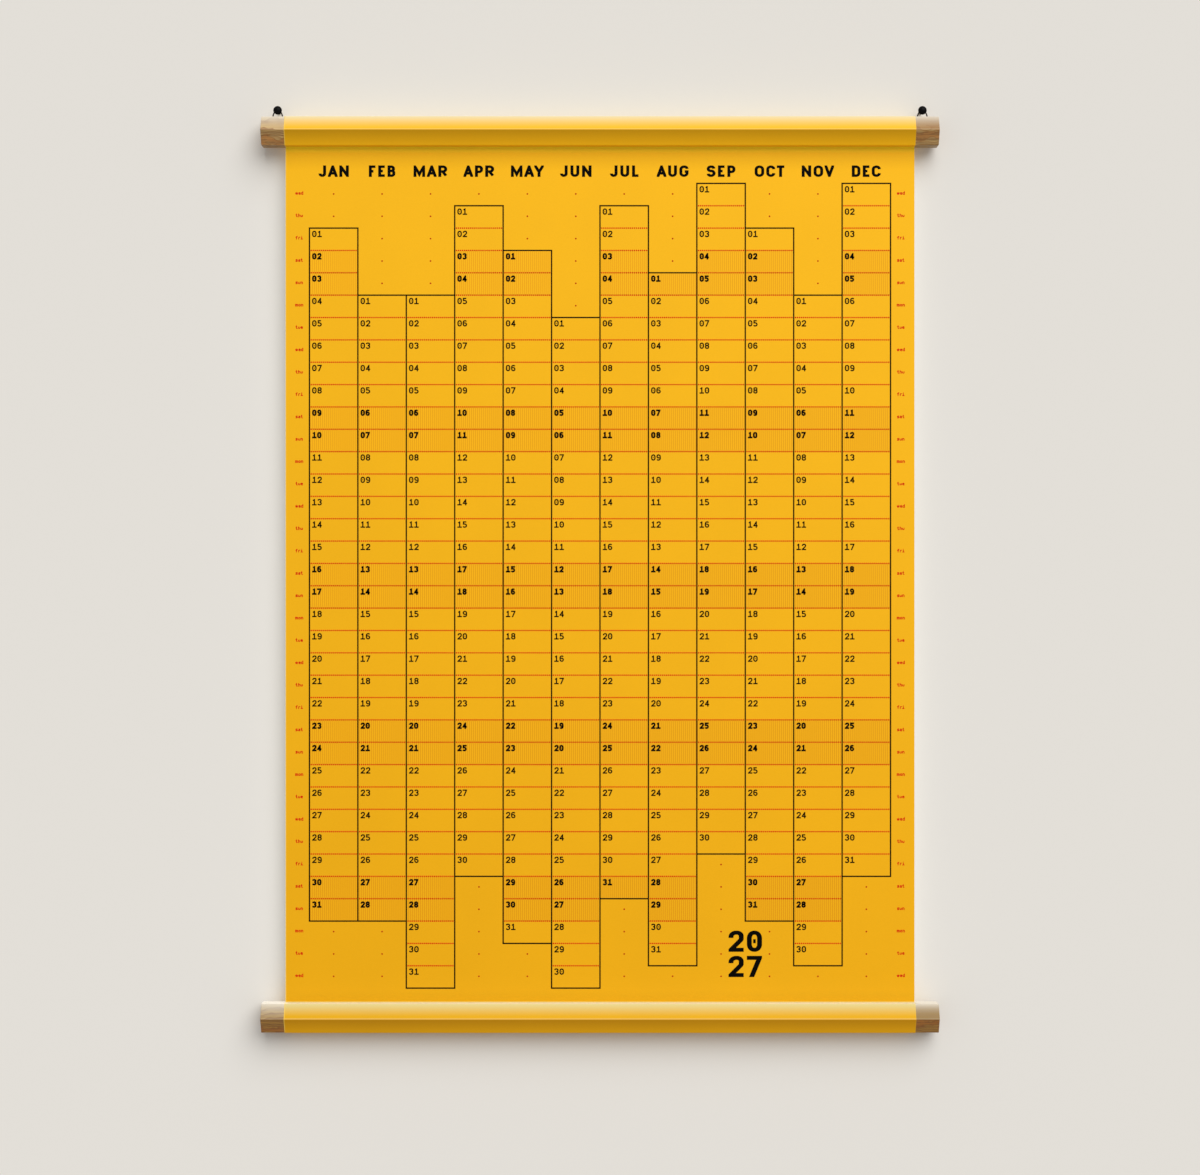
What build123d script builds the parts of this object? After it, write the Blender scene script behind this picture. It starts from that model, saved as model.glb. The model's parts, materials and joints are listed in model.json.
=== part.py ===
"""Wall calendar: a printed paper sheet held by two hexagonal wooden rods and hung from two nails.

Millimetres. X runs along the rods, Z is up, and the wall is the plane y = 0 with the front at -Y.
The origin lies on the wall, midway between the two nails.
"""
from build123d import *
import os
from calendar import SATURDAY, SUNDAY, WEDNESDAY, monthrange
from datetime import date
from math import acos, atan2, cos, degrees, hypot, pi, sin, tan

os.makedirs("parts", exist_ok=True)

# Sheet
sheet_width = 700.0
sheet_thickness = 0.3
drop = 952.0  # visible length between the two sleeves
flap_length = 15.0  # glued to the back of the sheet, beyond each sleeve
glue_thickness = 0.1
glue_height = 12.0
glue_side_margin = 3.0
seam_radius = 0.6  # middle of the paper, where the sheet turns into a sleeve
sleeve_clearance = 0.1

# Rods
rod_flats = 32.0  # across the flats, with a corner to the front and one to the wall
rod_overhang = 26.0  # bare wood past each edge of the sheet
rod_edge_radius = 1.0
rod_end_chamfer = 0.4

# Hanging points
nail_from_sheet = 8.75  # from the sheet's edge to the nail's axis
nail_rise = 8.1  # from the top rod's upper flat to the nail's axis
shank_diameter = 2.4
neck_diameter = 3.0  # carries the cord
neck_length = 4.0
head_diameter = 9.6
head_rim = 0.6
head_dome = 2.4
nail_in_wall = 20.0
nail_point = 4.0
head_clearance = 0.2
cord_diameter = 1.5
cord_hole_offset = 6.2  # from the nail's axis to each of its two holes
cord_hole_depth = 15.0
cord_hole_clearance = 0.05
cord_bend_radius = 4.5  # middle of the cord, where it leaves its hole
cord_neck_clearance = 0.05

# Print
ink_thickness = 0.1
grid_margin_side = 26.6  # from the sheet's edge to the first and last frame lines
grid_margin_top = 40.6  # from the upper sleeve to the first row
grid_margin_bottom = 15.7  # from the last row to the lower sleeve
frame_line = 1.2
row_line = 0.7
row_line_inset = 1.6  # from the middle of a frame line to the end of a row line
year_start = date(2027, 1, 1)
top_row_weekday = WEDNESDAY

# Sections, from the middle of a rod to its flats and to the outside of the sleeve
rod_length = sheet_width + 2 * rod_overhang
rod_apothem = rod_flats / 2
sleeve_apothem = rod_apothem + sleeve_clearance + sheet_thickness
sleeve_edge_radius = rod_edge_radius + sleeve_clearance + sheet_thickness
sleeve_reach = (sleeve_apothem - sleeve_edge_radius) / cos(pi / 6) + sleeve_edge_radius

# Levels and depths, with the back edge of each sleeve on the wall
hang_depth = sleeve_reach
flat_z = -nail_rise
top_rod_z = flat_z - rod_apothem
top_seam_z = top_rod_z - sleeve_apothem
bottom_seam_z = top_seam_z - drop
bottom_rod_z = bottom_seam_z - sleeve_apothem
nail_x = sheet_width / 2 + nail_from_sheet
head_back = hang_depth + cord_diameter / 2 + head_clearance


def months():
    """Each month's column, first row and number of days."""
    lengths = [monthrange(year_start.year, number) for number in range(1, 13)]
    return [
        (column, (weekday - top_row_weekday) % 7, days)
        for column, (weekday, days) in enumerate(lengths)
    ]


column_width = (sheet_width - 2 * grid_margin_side) / len(months())
row_count = max(first_row + days for column, first_row, days in months())
row_height = (drop - grid_margin_top - grid_margin_bottom) / row_count


def side_plane(level):
    """Looks along -X at the middle of the sheet's plane, with +Y to the right."""
    return Plane(origin=(0, -hang_depth, level), x_dir=(0, 1, 0), z_dir=(1, 0, 0))


# The sheet's side view: a flap, the upper sleeve, the drop, the lower sleeve and a flap.
# shift is the distance from the middle of the paper towards its printed face.
def hexagon_corner(number, level, shift):
    reach = (rod_apothem + sleeve_clearance + sheet_thickness / 2 + shift) / cos(pi / 6)
    angle = number * pi / 3
    return (reach * cos(angle), level + reach * sin(angle))


def sheet_route(shift):
    flap_depth = sheet_thickness + glue_thickness + shift
    upper = top_rod_z - sleeve_apothem + sheet_thickness / 2 - shift
    lower = bottom_rod_z + sleeve_apothem - sheet_thickness / 2 + shift
    upper_sleeve = [hexagon_corner(number, top_rod_z, shift) for number in range(-1, 5)]
    lower_sleeve = [hexagon_corner(number, bottom_rod_z, shift) for number in range(2, 8)]
    return [
        (flap_depth, top_seam_z - flap_length),
        (flap_depth, upper),
        *upper_sleeve,
        (-shift, upper),
        (-shift, lower),
        *lower_sleeve,
        (flap_depth, lower),
        (flap_depth, bottom_seam_z + flap_length),
    ]


def sheet_radii(shift):
    corner = rod_edge_radius + sleeve_clearance + sheet_thickness / 2 + shift
    sleeve = [seam_radius - shift] + 6 * [corner] + [seam_radius - shift]
    return 2 * sleeve


with BuildPart() as planner_sheet:
    with BuildSketch(side_plane(0)):
        with BuildLine():
            half = sheet_thickness / 2
            printed = FilletPolyline(*sheet_route(half), radius=sheet_radii(half))
            back = FilletPolyline(*sheet_route(-half), radius=sheet_radii(-half))
            Line(printed @ 0, back @ 0)
            Line(printed @ 1, back @ 1)
        make_face()
    extrude(amount=sheet_width / 2, both=True)
planner_sheet.part.label = "planner_sheet"
export_step(planner_sheet.part, "parts/planner_sheet.step")
cut_length = planner_sheet.part.volume / sheet_width / sheet_thickness
print(f"sheet cut {sheet_width:.0f} x {cut_length:.1f} mm")

# Adhesive between each flap and the back of the sheet
for name, level in (
    ("top_adhesive_strip", top_seam_z - flap_length / 2),
    ("bottom_adhesive_strip", bottom_seam_z + flap_length / 2),
):
    with BuildPart() as strip:
        with BuildSketch(Plane.XZ.offset(hang_depth - sheet_thickness / 2)):
            with Locations((0, level)):
                Rectangle(sheet_width - 2 * glue_side_margin, glue_height)
        extrude(amount=-glue_thickness)
    strip.part.label = name
    export_step(strip.part, f"parts/{name}.step")

# Rods, alike but for the cord holes in the upper flat of the top one
for name, level in (("top_rod", top_rod_z), ("bottom_rod", bottom_rod_z)):
    with BuildPart() as rod:
        with BuildSketch(side_plane(level)) as section:
            RegularPolygon(rod_apothem, 6, major_radius=False)
            fillet(section.vertices(), rod_edge_radius)
        extrude(amount=rod_length / 2, both=True)
        chamfer(rod.faces().filter_by(Axis.X).edges(), rod_end_chamfer)
        if name == "top_rod":
            with Locations(*[
                (side * nail_x + end * cord_hole_offset, -hang_depth, flat_z)
                for side in (-1, 1)
                for end in (-1, 1)
            ]):
                Hole(cord_diameter / 2 + cord_hole_clearance, cord_hole_depth)
    rod.part.label = name
    export_step(rod.part, f"parts/{name}.step")

# Each cord loop stands in its two holes, bends where it leaves them and runs straight to the neck.
# slant is the angle between the straight run and the vertical, where the run is tangent to both arcs.
loop_radius = neck_diameter / 2 + cord_neck_clearance + cord_diameter / 2
bend_offset = cord_hole_offset - cord_bend_radius
slant = (
    acos((loop_radius - cord_bend_radius) / hypot(bend_offset, nail_rise))
    - atan2(nail_rise, bend_offset)
)
hole_bottom_z = flat_z - cord_hole_depth
bend_z = flat_z + cord_bend_radius * tan(slant / 2)
apex_z = loop_radius / sin(slant)

for side, name in ((-1, "left"), (1, "right")):
    loop_plane = Plane(origin=(side * nail_x, -hang_depth, 0), x_dir=(1, 0, 0), z_dir=(0, -1, 0))
    with BuildPart() as cord_loop:
        with BuildLine(loop_plane) as route:
            FilletPolyline(
                (-cord_hole_offset, hole_bottom_z),
                (-cord_hole_offset, bend_z),
                (0, apex_z),
                (cord_hole_offset, bend_z),
                (cord_hole_offset, hole_bottom_z),
                radius=[cord_bend_radius, loop_radius, cord_bend_radius],
            )
        with BuildSketch(Plane(origin=route.wire() @ 0, z_dir=route.wire() % 0)):
            Circle(cord_diameter / 2)
        sweep(path=route.wire())
    cord_loop.part.label = f"{name}_cord_loop"
    export_step(cord_loop.part, f"parts/{name}_cord_loop.step")
    cord_length = route.wire().length
    swept = cord_length * pi * cord_diameter**2 / 4
    print(
        f"{name} cord {cord_length:.2f} mm long, volume {cord_loop.part.volume:.3f} of {swept:.3f},",
        f"radii {cord_bend_radius:.2f} and {loop_radius:.2f}, slant {degrees(slant):.1f} degrees",
    )

# Nails, two alike: a domed head, a short neck for the cord, and a shank with its point in the wall
rim = (head_diameter / 2, -head_back - head_rim)
apex = (0, -head_back - head_rim - head_dome)
with BuildPart() as nails:
    for side in (-1, 1):
        with BuildSketch(Plane(origin=(side * nail_x, 0, 0), x_dir=(1, 0, 0), z_dir=(0, 0, 1))):
            with BuildLine():
                Polyline(
                    apex,
                    (0, nail_in_wall),
                    (shank_diameter / 2, nail_in_wall - nail_point),
                    (shank_diameter / 2, neck_length - head_back),
                    (neck_diameter / 2, neck_length - head_back),
                    (neck_diameter / 2, -head_back),
                    (head_diameter / 2, -head_back),
                    rim,
                )
                TangentArc(apex, rim, tangent=(1, 0))
            make_face()
        revolve(axis=Axis((side * nail_x, 0, 0), (0, 1, 0)))
nails.part.label = "nails"
export_step(nails.part, "parts/nails.step")

# Print, as thin fields on the front of the sheet, measured from the grid's upper left corner
print_plane = Plane(
    origin=(
        grid_margin_side - sheet_width / 2,
        -hang_depth - sheet_thickness / 2,
        top_seam_z - grid_margin_top,
    ),
    x_dir=(1, 0, 0),
    z_dir=(0, -1, 0),
)

with BuildPart() as month_frames:
    with BuildSketch(print_plane):
        for line_side, mode in ((frame_line, Mode.ADD), (-frame_line, Mode.SUBTRACT)):
            for column, first_row, days in months():
                middle = ((column + 0.5) * column_width, -(first_row + days / 2) * row_height)
                with Locations(middle):
                    Rectangle(column_width + line_side, days * row_height + line_side, mode=mode)
    extrude(amount=ink_thickness)
month_frames.part.label = "month_frames"
export_step(month_frames.part, "parts/month_frames.step")

with BuildPart() as row_lines:
    with BuildSketch(print_plane):
        with Locations(*[
            ((column + 0.5) * column_width, -(first_row + day) * row_height)
            for column, first_row, days in months()
            for day in range(1, days)
        ]):
            Rectangle(column_width - 2 * row_line_inset, row_line)
    extrude(amount=ink_thickness)
row_lines.part.label = "row_lines"
export_step(row_lines.part, "parts/row_lines.step")

with BuildPart() as weekend_fields:
    with BuildSketch(print_plane):
        with Locations(*[
            ((column + 0.5) * column_width, -(first_row + day + 0.5) * row_height)
            for column, first_row, days in months()
            for day in range(days)
            if (top_row_weekday + first_row + day) % 7 in (SATURDAY, SUNDAY)
        ]):
            Rectangle(column_width - frame_line, row_height - frame_line)
    extrude(amount=ink_thickness)
weekend_fields.part.label = "weekend_fields"
export_step(weekend_fields.part, "parts/weekend_fields.step")
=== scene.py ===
import bpy
import bmesh
import json
import math
from calendar import monthrange
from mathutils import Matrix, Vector

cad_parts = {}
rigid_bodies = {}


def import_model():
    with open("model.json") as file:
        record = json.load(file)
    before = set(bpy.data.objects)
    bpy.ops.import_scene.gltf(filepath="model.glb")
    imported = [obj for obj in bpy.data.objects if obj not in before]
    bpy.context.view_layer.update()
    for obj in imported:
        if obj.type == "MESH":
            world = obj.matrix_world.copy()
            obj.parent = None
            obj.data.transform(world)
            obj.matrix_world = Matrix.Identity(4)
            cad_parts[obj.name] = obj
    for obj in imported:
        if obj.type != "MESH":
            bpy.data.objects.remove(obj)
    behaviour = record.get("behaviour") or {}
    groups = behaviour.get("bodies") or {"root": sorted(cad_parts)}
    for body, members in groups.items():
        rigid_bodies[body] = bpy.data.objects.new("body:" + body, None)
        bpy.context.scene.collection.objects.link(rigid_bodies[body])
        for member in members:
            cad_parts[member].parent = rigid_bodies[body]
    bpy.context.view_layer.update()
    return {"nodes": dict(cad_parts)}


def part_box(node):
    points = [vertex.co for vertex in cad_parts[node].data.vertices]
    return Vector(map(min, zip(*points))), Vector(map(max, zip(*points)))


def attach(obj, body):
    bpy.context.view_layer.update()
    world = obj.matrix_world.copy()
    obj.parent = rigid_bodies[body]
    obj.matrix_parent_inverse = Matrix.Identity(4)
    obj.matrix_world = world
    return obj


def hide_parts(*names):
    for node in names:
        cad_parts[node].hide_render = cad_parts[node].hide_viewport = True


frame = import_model()
mm = 0.001
rodNames = ("top_rod", "bottom_rod")

sheetLow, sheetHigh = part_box("planner_sheet")
framesLow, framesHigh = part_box("month_frames")
nailsLow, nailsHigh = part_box("nails")
rodLevel = {}
for rodName in rodNames:
    rodLow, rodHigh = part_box(rodName)
    rodLevel[rodName] = (rodLow.z + rodHigh.z) / 2
sheetMiddle = (sheetLow.y + sheetHigh.y) / 2  # middle of the hanging paper, front to back
paperThickness = 0.3 * mm
paperFront = sheetMiddle - paperThickness / 2


# Node helpers

def srgb(red, green, blue):
    parts = [c / 255 for c in (red, green, blue)]
    return [c / 12.92 if c < 0.04045 else ((c + 0.055) / 1.055) ** 2.4 for c in parts] + [1]


def fill(node, inputs):
    for key, value in inputs.items():
        if isinstance(value, bpy.types.NodeSocket):
            node.id_data.links.new(value, node.inputs[key])
        else:
            node.inputs[key].default_value = value
    return node


def addNode(tree, kind, inputs=None, **settings):
    node = tree.nodes.new(kind)
    for key, value in settings.items():
        setattr(node, key, value)
    return fill(node, inputs or {})


def treeOf(inputs):
    # a node goes into the tree that its first linked input comes from
    return next(value.id_data for value in inputs.values() if isinstance(value, bpy.types.NodeSocket))


def geo(kind, inputs, **settings):
    return addNode(treeOf(inputs), "GeometryNode" + kind, inputs, **settings).outputs[0]


def shade(kind, inputs, **settings):
    return addNode(treeOf(inputs), "ShaderNode" + kind, inputs, **settings).outputs


def calc(operation, first, second=0.0, third=0.0, clamp=False):
    return shade("Math", {0: first, 1: second, 2: third}, operation=operation, use_clamp=clamp)[0]


def plus(first, second):
    return calc("ADD", first, second)


def minus(first, second):
    return calc("SUBTRACT", first, second)


def times(first, second):
    return calc("MULTIPLY", first, second)


def blend(factor, low, high, mode="MIX"):
    # low and high are sockets or colours of 0 to 255
    low, high = [srgb(*colour) if isinstance(colour, tuple) else colour for colour in (low, high)]
    return shade("Mix", {0: factor, 6: low, 7: high}, data_type="RGBA", blend_type=mode)[2]


def shaded(factor, base, colour):
    return blend(factor, base, colour, "MULTIPLY")


def scaled(factor, base, amount):
    return shaded(factor, base, shade("CombineColor", {0: amount, 1: amount, 2: amount})[0])


def spread(value, low, high, toLow=0.0, toHigh=1.0):
    return shade("MapRange", {0: value, 1: low, 2: high, 3: toLow, 4: toHigh})[0]


def axes(point):
    return shade("SeparateXYZ", {0: point})


def stretched(point, x, y, z):
    return shade("Mapping", {"Vector": point, "Scale": (x, y, z)})[0]


def noise(point, scale, detail=3.0, roughness=0.55, distortion=0.0):
    return shade("TexNoise", {
        "Vector": point, "Scale": scale, "Detail": detail,
        "Roughness": roughness, "Distortion": distortion,
    })[0]


def nodeGroup(name, family, inputs, outputs):
    # inputs are (label, kind, value) and outputs (label, kind)
    group = bpy.data.node_groups.new(name, family + "NodeTree")
    for label, kind, value in inputs:
        socket = group.interface.new_socket(label, in_out="INPUT", socket_type="NodeSocket" + kind)
        if value is not None:
            socket.default_value = value
    for label, kind in outputs:
        group.interface.new_socket(label, in_out="OUTPUT", socket_type="NodeSocket" + kind)
    return group, group.nodes.new("NodeGroupInput").outputs, group.nodes.new("NodeGroupOutput")


def shaderGroup(name, inputs, masks):
    inputs = [("Point", "Vector", None)] + inputs
    return nodeGroup(name, "Shader", inputs, [(mask, "Float") for mask in masks])


def geometryTree(name, inputs):
    return nodeGroup(name, "Geometry", [("Geometry", "Geometry", None)] + inputs, [("Geometry", "Geometry")])


def useGroup(group, inputs):
    node = treeOf(inputs).nodes.new("ShaderNodeGroup")
    node.node_tree = group
    return fill(node, inputs).outputs


def newMaterial(name, gloss):
    made = bpy.data.materials.new(name)
    made.use_nodes = True
    shader = fill(made.node_tree.nodes["Principled BSDF"], {"Specular IOR Level": gloss})
    return made, shader, addNode(made.node_tree, "ShaderNodeTexCoord").outputs["Object"]


def dress(shader, colour, roughness, height, strength, depth):
    bump = shade("Bump", {"Strength": strength, "Distance": depth, "Height": height})[0]
    fill(shader, {"Base Color": colour, "Roughness": roughness, "Normal": bump})


# Mesh helpers

def newMesh(name, vertices, edges=(), faces=()):
    mesh = bpy.data.meshes.new(name)
    mesh.from_pydata(vertices, edges, faces)
    return mesh


def newObject(name, mesh):
    made = bpy.data.objects.new(name, mesh)
    bpy.context.scene.collection.objects.link(made)
    return made


def settle(piece, slotName, *replaced):
    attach(piece, "root")
    if replaced:
        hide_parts(*replaced)


def repaint(nodeName, material):
    for place in frame["nodes"][nodeName].material_slots:
        place.material = material


def finishMesh(work, mesh, sharpAngle=None):
    # faces turn outwards, and edges over the sharp angle in degrees stay crisp
    bmesh.ops.recalc_face_normals(work, faces=work.faces)
    work.to_mesh(mesh)
    work.free()
    if sharpAngle:
        mesh.shade_smooth()
        mesh.set_sharp_from_angle(angle=math.radians(sharpAngle))
    return mesh


def finishTree(geometry, material, sent):
    real = geo("RealizeInstances", {0: geometry})
    fill(sent, {0: geo("SetMaterial", {"Geometry": real, "Material": material})})


def grow(name, mesh, tree, values):
    # runs the tree on a seed mesh and keeps only the plain result
    seed = newObject(name + "Seed", mesh)
    modifier = seed.modifiers.new("grow", "NODES")
    modifier.node_group = tree
    for item in tree.interface.items_tree:
        if item.in_out == "INPUT" and item.name in values:
            modifier[item.identifier] = values[item.name]
    bpy.context.view_layer.update()
    graph = bpy.context.evaluated_depsgraph_get()
    made = bpy.data.meshes.new_from_object(seed.evaluated_get(graph), depsgraph=graph)
    made.name = name
    seed.modifiers.remove(modifier)
    bpy.data.objects.remove(seed)
    return newObject(name, made)


def roundedPath(corners, steps):
    # rounds the corners of a flat path of (x, z, radius)
    path = [Vector(corners[0][:2])]
    for before, corner, after in zip(corners, corners[1:], corners[2:]):
        here = Vector(corner[:2])
        if corner[2] <= 0:
            path.append(here)
            continue
        toBefore = Vector(before[:2]) - here
        toAfter = Vector(after[:2]) - here
        half = toBefore.angle(toAfter) / 2
        reach = min(
            corner[2] / math.tan(half),
            toBefore.length * (0.5 if before[2] > 0 else 1),
            toAfter.length * (0.5 if after[2] > 0 else 1),
        )
        radius = reach * math.tan(half)
        inward = (toBefore.normalized() + toAfter.normalized()).normalized()
        centre = here + inward * radius / math.sin(half)
        first = here + toBefore.normalized() * reach - centre
        last = here + toAfter.normalized() * reach - centre
        start = math.atan2(first.y, first.x)
        sweep = (math.atan2(last.y, last.x) - start + math.pi) % (2 * math.pi) - math.pi
        for step in range(steps + 1):
            angle = start + sweep * step / steps
            path.append(centre + radius * Vector((math.cos(angle), math.sin(angle))))
    path.append(Vector(corners[-1][:2]))
    return path


# Camera

view = {
    "distance": 3.0,  # from the front of the paper
    "level": -530.9 * mm,
    "widthAtPaper": 1335.67 * mm,
    "sensor": 36.0,
}
cameraData = bpy.data.cameras.new("wallView")
cameraData.sensor_width = view["sensor"]
cameraData.lens = view["sensor"] * view["distance"] / view["widthAtPaper"]
camera = newObject("wallView", cameraData)
camera.location = (0, paperFront - view["distance"], view["level"])
camera.rotation_euler = (math.pi / 2, 0, 0)
bpy.context.scene.camera = camera
print("camera set, lens", round(cameraData.lens, 2))


# Cord loops

cord = {
    "diameter": 1.5 * mm,
    "length": 55.3 * mm,
    # the diameter is over the crowns of the plies, and their depth a share of the radius
    "laid": {"Diameter": 1.58 * mm, "Plies": 3, "Ply Depth": 0.14, "Pitch": 5.2 * mm, "Spacing": 0.22 * mm},
    "ringSteps": 18,
    "dark": (10, 5, 4),
    "light": (46, 22, 18),
    # half of a loop from the nail's axis, outwards and up: hole, bend, run, top
    "route": [(6.2, -23.1), (6.2, -7.01), (2.69, -0.19), (1.4, 2.3)],
}

cordTree, taken, sent = geometryTree("laidCord", [
    ("Diameter", "Float", 0.0015), ("Plies", "Int", 3), ("Ply Depth", "Float", 0.16),
    ("Pitch", "Float", 0.005), ("Spacing", "Float", 0.0002), ("Fibre", "Material", None),
])
line = geo("MeshToCurve", {0: taken["Geometry"]})
line = geo("ResampleCurve", {"Curve": line, "Length": taken["Spacing"]}, mode="LENGTH")
along = addNode(cordTree, "GeometryNodeSplineParameter").outputs["Length"]
tilt = times(calc("DIVIDE", along, taken["Pitch"]), 2 * math.pi)
line = geo("SetCurveTilt", {"Curve": line, "Tilt": tilt})
radius = times(taken["Diameter"], 0.5)
ring = geo("CurvePrimitiveCircle", {"Resolution": cord["ringSteps"], "Radius": radius})
index = addNode(cordTree, "GeometryNodeInputIndex").outputs[0]
turn = times(index, 2 * math.pi / cord["ringSteps"])
wave = calc("COSINE", times(turn, taken["Plies"]))
dip = times(minus(1.0, wave), times(taken["Ply Depth"], 0.5))
ringPoint = addNode(cordTree, "GeometryNodeInputPosition").outputs[0]
shrunk = shade("VectorMath", {0: ringPoint, "Scale": minus(1.0, dip)}, operation="SCALE")[0]
ring = geo("SetPosition", {"Geometry": ring, "Position": shrunk})
tube = geo("CurveToMesh", {"Curve": line, "Profile Curve": ring, "Fill Caps": True})
finishTree(geo("SetShadeSmooth", {"Geometry": tube}), taken["Fibre"], sent)

cordMaterial, shader, point = newMaterial("cordFibre", 0.15)
fibres = noise(stretched(point, 1, 1, 0.35), 9000, 2)
patches = noise(point, 700, 2)
light = calc("MULTIPLY", times(fibres, patches), 1.5, clamp=True)
dress(shader, blend(light, cord["dark"], cord["light"]), 0.7, fibres, 0.5, 0.08 * mm)


def loopLine(centre):
    curve = bpy.data.curves.new("loopLine", "CURVE")
    curve.dimensions = "3D"
    outward = cord["route"]
    turned = [(-x, z) for x, z in outward] + outward[::-1]
    spline = curve.splines.new("NURBS")
    spline.points.add(len(turned) - 1)
    for place, (x, z) in zip(spline.points, turned):
        place.co = (centre.x + x * mm, centre.y, z * mm, 1)
    spline.order_u = 3
    spline.use_endpoint_u = True
    spline.resolution_u = 24
    holder = newObject("loopLine", curve)
    bpy.context.view_layer.update()
    mesh = bpy.data.meshes.new_from_object(holder)
    bpy.data.objects.remove(holder)
    return mesh


for nodeName, loopName in (("left_cord_loop", "leftLoopLaid"), ("right_cord_loop", "rightLoopLaid")):
    loopLow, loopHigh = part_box(nodeName)
    routeMesh = loopLine((loopLow + loopHigh) / 2)
    loop = grow(loopName, routeMesh, cordTree, {**cord["laid"], "Fibre": cordMaterial})
    settle(loop, "cord", nodeName)
print("cord loops laid")


# Wall, floor and light

stage = {
    "wall": (226, 222, 215),
    "floor": (220, 216, 208),
    "sky": (232, 230, 226),
    "skyStrength": 0.42,
    "halfWidth": 6,
    "floorDepth": 7,
    "floorLevel": -1.5,
    "wallTop": 4,
    "wallBehind": 0.5 * mm,  # so that no back lies in its plane
    # azimuth, elevation and spread in degrees, then strength
    "suns": {"keyLight": (22, 36, 55, 2.45), "backLight": (205, 35, 40, 1.8)},
}


def showMixed(tree, outputName, hidden, shown, front=None):
    # the camera and gloss see shown, all other light meets hidden
    rays = addNode(tree, "ShaderNodeLightPath").outputs
    seen = calc("MAXIMUM", rays["Is Camera Ray"], rays["Is Glossy Ray"])
    if front is not None:
        seen = times(seen, front)
    mix = shade("MixShader", {0: seen, 1: hidden.outputs[0], 2: shown.outputs[0]})
    fill(tree.nodes[outputName], {"Surface": mix[0]})


def stagePlane(name, near, far):
    # near and far are the depth and level of two edges; only the front shows
    made, shader, point = newMaterial("pale" + name.title(), 0.1)
    fill(shader, {"Base Color": srgb(*stage[name]), "Roughness": 0.9})
    tree = made.node_tree
    front = minus(1.0, addNode(tree, "ShaderNodeNewGeometry").outputs["Backfacing"])
    showMixed(tree, "Material Output", addNode(tree, "ShaderNodeBsdfTransparent"), shader, front)
    half = stage["halfWidth"]
    corners = [(-half, *near), (half, *near), (half, *far), (-half, *far)]
    mesh = newMesh(name, corners, faces=[range(4)])
    mesh.materials.append(made)
    newObject(name, mesh)


wallFoot = (stage["wallBehind"], stage["floorLevel"])
stagePlane("wall", wallFoot, (stage["wallBehind"], stage["wallTop"]))
stagePlane("floor", (-stage["floorDepth"], stage["floorLevel"]), wallFoot)

for name, (*angles, strength) in stage["suns"].items():
    sunData = bpy.data.lights.new(name, "SUN")
    a, e, sunData.angle = [math.radians(angle) for angle in angles]
    sunData.energy = strength
    towards = Vector((math.sin(a) * math.cos(e), -math.cos(a) * math.cos(e), math.sin(e)))
    newObject(name, sunData).rotation_euler = towards.to_track_quat("Z", "Y").to_euler()

world = bpy.data.worlds.new("studio")
bpy.context.scene.world = world
world.use_nodes = True
tree = world.node_tree
skyLight = fill(tree.nodes["Background"], {"Color": (1, 1, 1, 1), "Strength": stage["skyStrength"]})
skySeen = addNode(tree, "ShaderNodeBackground", {"Color": srgb(*stage["sky"])})
showMixed(tree, "World Output", skyLight, skySeen)
bpy.context.scene.view_settings.view_transform = "Standard"
print("wall, floor and light placed")


# Shared effects

toothGroup, taken, sent = shaderGroup(
    "paperTooth", [("Fibre Scale", "Float", 900.0), ("Cloud Scale", "Float", 14.0)], ["Fibre", "Cloud"],
)
fill(sent, {
    "Fibre": noise(stretched(taken["Point"], 0.55, 1, 1), taken["Fibre Scale"], 4, 0.65),
    "Cloud": noise(taken["Point"], taken["Cloud Scale"], 3),
})


def toothedMaterial(name, gloss, fibreScale, cloudScale):
    made, shader, point = newMaterial(name, gloss)
    tooth = useGroup(toothGroup, {"Point": point, "Fibre Scale": fibreScale, "Cloud Scale": cloudScale})
    return made, shader, point, tooth["Fibre"], tooth["Cloud"]


rail = {
    "overrun": 1.03,  # shares of the way from the front ridge to the upper edge
    # where the painted highlight along the upper edge lies
    "crest": (0.965, 0.99),
    "ridgeMiddle": 0.7 * mm,  # the painted highlight line lies a little above the ridge
    "ridgeReach": (0.3 * mm, 0.9 * mm),
}

# masks of a rod or sleeve: the first rises from the front ridge to its upper edge and carries a painted
# sheen, Under rises from the lower edge to the ridge and carries painted shade, and Ridge and Crest carry
# painted highlight lines
liftGroup, taken, sent = shaderGroup("railLightMasks", [
    ("Level", "Float", 0.0), ("Reach", "Float", 0.016), ("Start", "Float", 0.0), ("Curve", "Float", 1.5),
], ["Fade", "Over", "Under", "Ridge", "Crest"])
above = minus(axes(taken["Point"])[2], taken["Level"])
share = calc("DIVIDE", above, taken["Reach"])
rise = calc("POWER", spread(above, taken["Start"], taken["Reach"]), taken["Curve"])
inside = calc("LESS_THAN", share, rail["overrun"])
fromRidge = calc("ABSOLUTE", minus(above, rail["ridgeMiddle"]))
fill(sent, {
    "Fade": times(rise, inside),
    "Over": times(calc("GREATER_THAN", share, 0.0), inside),
    "Under": times(calc("ADD", share, 1.0, clamp=True), calc("LESS_THAN", share, 0.0)),
    "Ridge": spread(fromRidge, *rail["ridgeReach"], 1.0, 0.0),
    "Crest": times(spread(share, *rail["crest"]), inside),
})


# Sheet

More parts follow.
